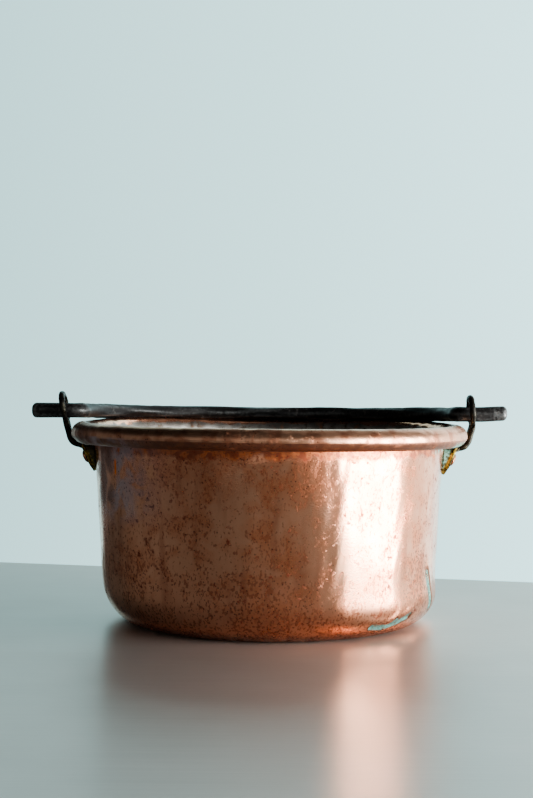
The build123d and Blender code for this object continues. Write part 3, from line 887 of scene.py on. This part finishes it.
def bail_line(step=1.1 * MM):
    """Middle line of half the bail in its own plane, from the crown to the pin's end: an arc of the
    crown's radius, an arc of the shoulder's radius, the short bend beside the ear and the straight pin."""
    rise = CROWN_REACH - BEND_RADIUS
    span = BOW_HALF_SPAN - SHOULDER_RADIUS
    crown_radius = (span ** 2 + rise ** 2 - SHOULDER_RADIUS ** 2) / (2 * (rise - SHOULDER_RADIUS))
    meeting = math.atan2(BEND_RADIUS - CROWN_REACH + crown_radius, span)
    crown_turn = meeting - math.pi / 2
    crown = arc_points(np.array([0.0, CROWN_REACH - crown_radius]), crown_radius, math.pi / 2, crown_turn,
                       int(crown_radius * -crown_turn / step))
    shoulder = arc_points(np.array([span, BEND_RADIUS]), SHOULDER_RADIUS, meeting, -meeting,
                          int(SHOULDER_RADIUS * meeting / step))
    bend = arc_points(np.array([BEND_START, BEND_RADIUS]), BEND_RADIUS, math.pi, math.pi / 2, 16)
    end = RING_X + PIN_OVERHANG
    pin = line_points((BEND_START, 0.0), (end - PIN_END_RADIUS, 0.0), int((end - BEND_START) / step))
    return np.concatenate([crown, shoulder[1:], bend[1:], pin[1:]])


def make_bail():
    """An oval carried along the bail's line, round at the pins and flattened at the crown, with forging
    flats (slow waves round the bar), a little added stoutness and hammer marks (shallow bells)."""
    half = bail_line()
    line = np.concatenate([half[:0:-1] * (-1.0, 1.0), half])
    along = np.concatenate([[0.0], np.cumsum(np.linalg.norm(np.diff(line, axis=0), axis=1))])
    heading = np.gradient(line, along, axis=0)
    heading /= np.linalg.norm(heading, axis=1)[:, None]
    side = np.stack([heading[:, 1], -heading[:, 0]], -1)
    middle = along[-1] / 2
    bow = np.clip(1 - np.abs(along - middle) / (middle - 50 * MM), 0.0, 1.0)
    half_width = PIN_RADIUS + (CROWN_HALF_WIDTH - PIN_RADIUS) * bow
    half_thick = PIN_RADIUS + (CROWN_HALF_THICKNESS - PIN_RADIUS) * bow

    turn = np.linspace(0.0, math.pi / 2, 9)[1:-1]
    close = PIN_RADIUS - PIN_END_RADIUS + PIN_END_RADIUS * np.cos(turn)
    reach = PIN_END_RADIUS * np.sin(turn)
    extra = np.concatenate([[0.0], reach])
    end_share = np.concatenate([[1.0], close / PIN_RADIUS])
    line = np.concatenate([line[0] - heading[0] * extra[:0:-1, None], line,
                           line[-1] + heading[-1] * extra[1:, None]])
    side = np.concatenate([np.repeat(side[:1], len(reach), 0), side, np.repeat(side[-1:], len(reach), 0)])
    half_width = np.concatenate([PIN_RADIUS * end_share[:0:-1], half_width, PIN_RADIUS * end_share[1:]])
    half_thick = np.concatenate([PIN_RADIUS * end_share[:0:-1], half_thick, PIN_RADIUS * end_share[1:]])
    along = np.concatenate([along[0] - extra[:0:-1], along, along[-1] + extra[1:]])

    around = 48
    angle = np.arange(around) * 2 * math.pi / around
    dice = np.random.default_rng(23)
    wave = np.zeros((len(along), around))
    for turns in (2, 3, 4, 5, 6, 7):
        slow = sum(dice.normal() * np.sin(along * 2 * math.pi / dice.uniform(40 * MM, 170 * MM)
                                          + dice.uniform(0, 2 * math.pi)) for _ in range(3))
        wave += 0.085 * MM * slow[:, None] * np.cos(turns * angle + dice.uniform(0, 2 * math.pi))
    marks = 190
    where = dice.uniform(along[0], along[-1], marks)
    facing = dice.uniform(0, 2 * math.pi, marks)
    size = dice.uniform(3.0, 6.5, marks) * MM
    depth = dice.uniform(0.10, 0.30, marks) * MM
    for s, a, r, d in zip(where, facing, size, depth):
        gap = np.angle(np.exp(1j * (angle - a))) * PIN_RADIUS
        wave -= d * np.exp(-((along[:, None] - s) / r) ** 2 - (gap / r) ** 2)
    pin_share = smooth_step(BOW_HALF_SPAN - 2 * MM, BEND_START, np.abs(line[:, 0]))
    wave = wave * (1 - 0.6 * pin_share)[:, None] + (BAIL_FULLER * (1 - pin_share))[:, None]
    across = (half_width[:, None] + wave) * np.cos(angle)
    up = (half_thick[:, None] + wave) * np.sin(angle)
    flat = np.stack([line[:, :1] + side[:, :1] * across, line[:, 1:] + side[:, 1:] * across, up], -1)
    flat[..., 2] += BAIL_END_LIFT * smooth_step(0.190, 0.2175, flat[..., 0])
    poles = np.stack([flat[0].mean(0), flat[-1].mean(0)])
    poles[:, 0] += (-0.05 * MM, 0.05 * MM)

    def laid(points):
        """Turned down about the hinge's line until the crown rests over the rim."""
        y = points[..., 1] * math.cos(REST_DROP) + points[..., 2] * math.sin(REST_DROP)
        z = points[..., 2] * math.cos(REST_DROP) - points[..., 1] * math.sin(REST_DROP)
        return np.stack([points[..., 0], y, z], -1) + HINGE

    points, quads, triangles = capped_grid(laid(flat), *laid(poles))
    return make_piece("forged_bail", points, quads, triangles)


# ---- Table, backdrop, light and camera ----

def make_stage():
    """Pale brushed table top with its back edge a little askew, and a glowing backdrop with painted light,
    dim grey-blue at the left and white at the right.
    """
    table = Finish("table_top")
    brushed = table.noise(2.6 * MM, 4.0, stretch=(50.0, 1.0, 1.0))
    clouds = table.noise(90 * MM, 3.0)
    colour = table.mix(clouds * 0.5 + brushed * 0.5, (0.60, 0.57, 0.545), (0.84, 0.81, 0.785))
    lay = table.node("CombineXYZ", inputs={0: 0.0, 1: 1.0, 2: 0.0})
    table.surface(colour, 0.66, 0.31 + brushed * 0.12, table.bump(brushed, 0.012 * MM),
                  Anisotropic=0.8, Tangent=lay)
    slab = [(x, y, z) for z in (0.0, -TABLE_THICKNESS) for x, y in TABLE_CORNERS]
    faces = [(0, 1, 2, 3), (7, 6, 5, 4), (0, 4, 5, 1), (1, 5, 6, 2), (2, 6, 7, 3), (3, 7, 4, 0)]
    stage_piece("table", slab, faces, table.material)

    wall = Finish("backdrop_glow")
    x = wall.axes()[0]
    share = x / BACKDROP_SPREAD + 0.5
    # Painted light: the backdrop's glow is graded from dim at the left to bright at the right.
    glow_colour = wall.node("ValToRGB", {"stops": BACKDROP_GLOW}, {0: share})
    glow = wall.node("Emission", inputs={"Color": glow_colour, "Strength": BACKDROP_STRENGTH})
    wall.node("OutputMaterial", inputs={"Surface": glow})
    (left, right), (low, high) = BACKDROP_X, BACKDROP_Z
    sheet = [(x, BACKDROP_Y, z) for x, z in ((left, low), (right, low), (right, high), (left, high))]
    stage_piece("backdrop", sheet, [(0, 1, 2, 3)], wall.material)


def stage_piece(name, points, faces, material):
    """A flat-sided thing that isn't part of the pan."""
    mesh = bpy.data.meshes.new(name)
    mesh.from_pydata(points, [], faces)
    piece = bpy.data.objects.new(name, mesh)
    bpy.context.scene.collection.objects.link(piece)
    mesh.materials.append(material)


def make_light():
    """Soft surround, dim at the left and overhead and brighter at the right, and one window light."""
    world = bpy.data.worlds.new("surround")
    bpy.context.scene.world = world
    air = Finish("surround", world)
    parts = air.node("SeparateXYZ", inputs={0: air.node("TexCoord", output="Generated")})
    x, y, z = (Value(air.tree, socket) for socket in parts.socket.node.outputs)
    turn = x.math("ARCTAN2", y * -1.0) / (2 * math.pi) + 0.5
    stops = [((angle + 180) / 360, (value / SURROUND_STRENGTH,) * 3) for angle, value in SURROUND]
    level = air.node("ValToRGB", {"stops": stops}, {0: turn})
    high = air.step(z, 0.12, 0.50)
    colour = air.mix(1.0, level, air.mix(high, (1.0, 0.98, 0.95), (0.13, 0.125, 0.12)), blend="MULTIPLY")
    sky = air.node("Background", inputs={"Color": colour, "Strength": SURROUND_STRENGTH})
    air.node("OutputWorld", inputs={"Surface": sky})

    lamp = bpy.data.lights.new("window", "AREA")
    lamp.shape = "RECTANGLE"
    lamp.size, lamp.size_y = WINDOW_SIZE
    lamp.energy = WINDOW_POWER
    lamp.color = (1.0, 0.99, 0.97)
    window = bpy.data.objects.new("window", lamp)
    window.location = (WINDOW_DISTANCE * math.sin(WINDOW_BEARING),
                       -WINDOW_DISTANCE * math.cos(WINDOW_BEARING), WINDOW_HEIGHT)
    window.rotation_euler = (math.pi / 2, 0.0, WINDOW_BEARING)
    bpy.context.scene.collection.objects.link(window)


def make_camera():
    """Camera a little above the rim, looking level across the pan."""
    data = bpy.data.cameras.new("camera")
    data.lens = CAMERA_LENS
    data.sensor_width = CAMERA_SENSOR
    camera = bpy.data.objects.new("camera", data)
    camera.location = CAMERA_PLACE
    camera.rotation_euler = CAMERA_TURN
    bpy.context.scene.collection.objects.link(camera)
    bpy.context.scene.camera = camera


make_camera()
make_light()
make_stage()
bpy.context.scene.view_settings.view_transform = "AgX"
bpy.context.scene.view_settings.look = "AgX - Medium High Contrast"

place_piece(make_pan(), "pan", "copper_sheet", copper_finish(), "pan_shell")
place_piece(make_bail(), "bail", "forged_iron", iron_finish(), "bail")
bronze, rivet_skin = bronze_finish(), rivet_finish()
for side in ("left", "right"):
    place_piece(make_ear(side), "pan", "ear_bronze", bronze, f"ear_{side}")
    for place, y, seed in zip(("front", "rear"), (-RIVET_SPACING / 2, RIVET_SPACING / 2), RIVET_SEEDS[side]):
        rivet = make_rivet(side, place, y, seed)
        place_piece(rivet, "pan", "rivet_copper", rivet_skin, f"rivet_{side}_{place}")
hoop = frame["nodes"]["rim_hoop"]
hoop.data.materials.clear()
hoop.data.materials.append(hoop_finish())
